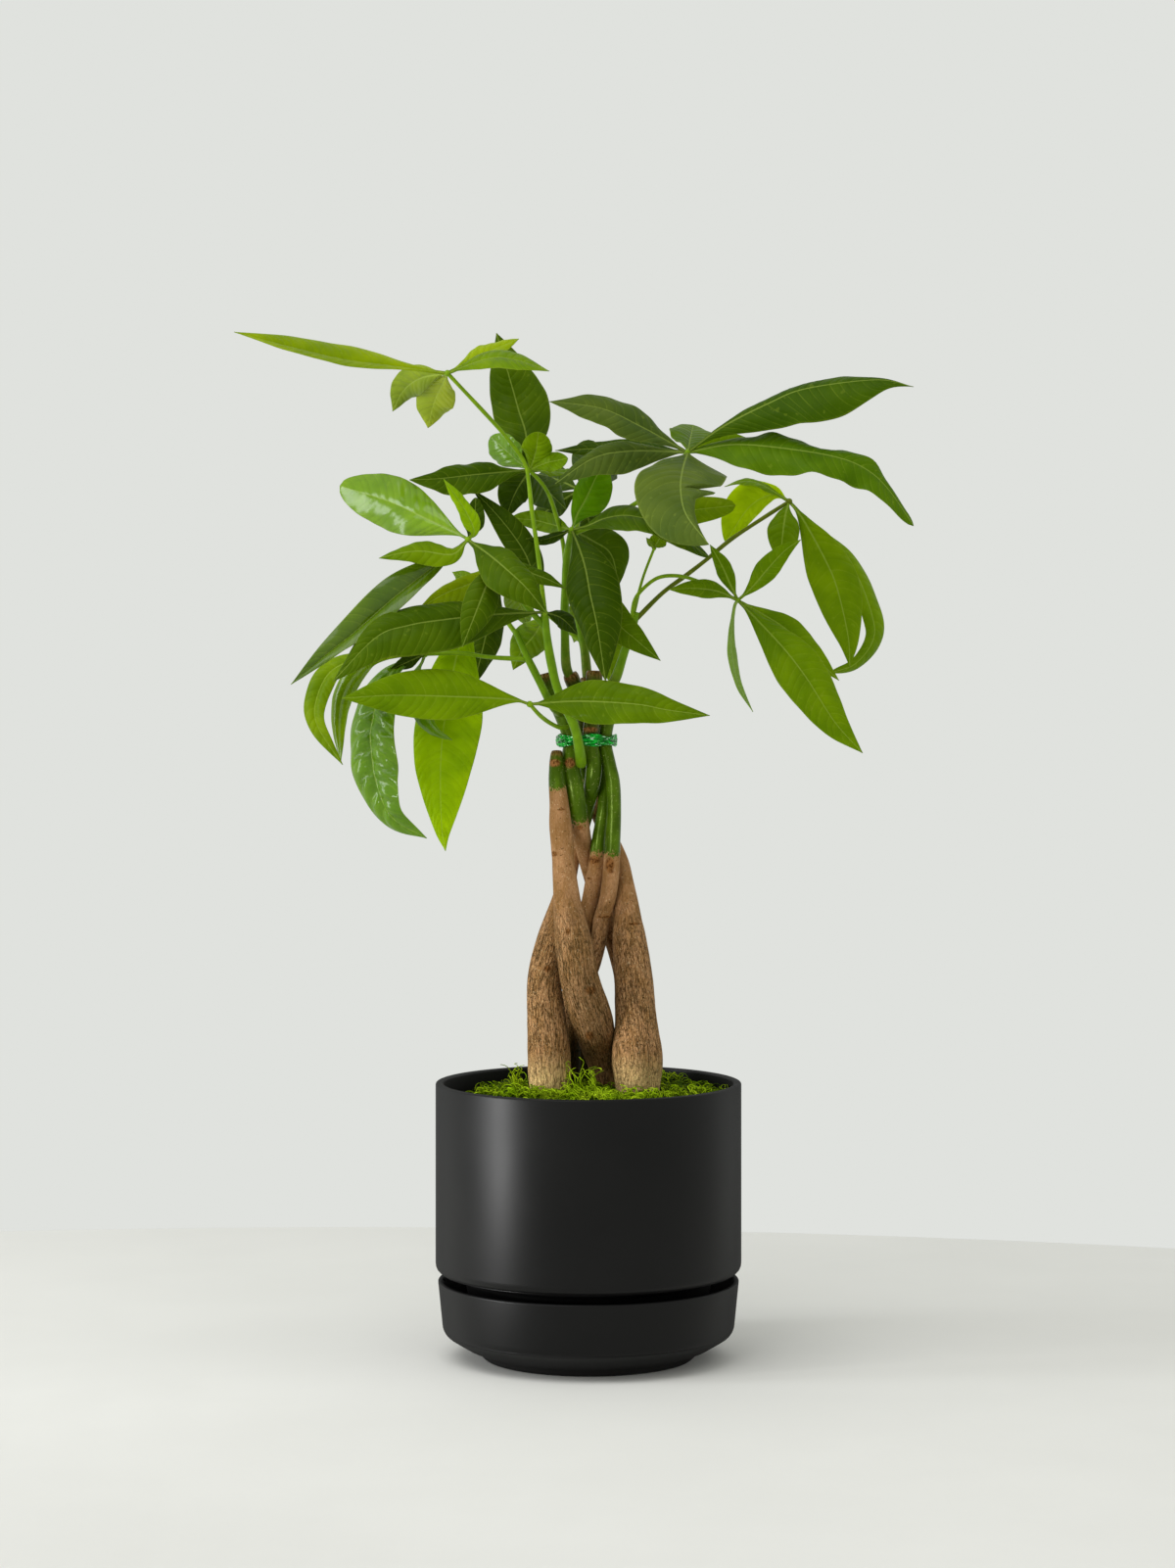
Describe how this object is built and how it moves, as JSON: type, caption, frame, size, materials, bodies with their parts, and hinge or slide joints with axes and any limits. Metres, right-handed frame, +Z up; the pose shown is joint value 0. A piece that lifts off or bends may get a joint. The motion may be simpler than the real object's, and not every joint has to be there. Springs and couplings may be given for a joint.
{
  "type": "potted money tree",
  "caption": "Braided-trunk money tree with fans of long leaflets, growing in mossy soil in a round pot on a saucer.",
  "frame": {"origin": "centre of the saucer's foot, on the surface it stands on", "axes": "+Z up along the trunk, -Y towards the front that the picture shows, +X to that view's right"},
  "size_m": [0.355, 0.2524, 0.5553],
  "materials": {
    "pot_plastic": "satin black moulded plastic",
    "soil": "dark crumbly potting soil",
    "moss": "curly green moss",
    "bark": "tan fissured bark, green and smooth towards the top",
    "tie_foil": "shiny green foil twisted tie",
    "leaf": "smooth glossy green leaf"
  },
  "bodies": {
    "root": {"saucer": "pot_plastic", "pot": "pot_plastic", "soil": "soil", "moss": "moss", "stem_front": "bark", "stem_left": "bark", "stem_right": "bark", "stem_green": "bark", "stem_rear": "bark", "stem_middle": "bark", "tie": "tie_foil", "shoot_front": "leaf", "shoot_left": "leaf", "shoot_middle": "leaf", "shoot_right": "leaf", "shoot_low": "leaf", "shoot_back": "leaf"}
  },
  "joints": []
}
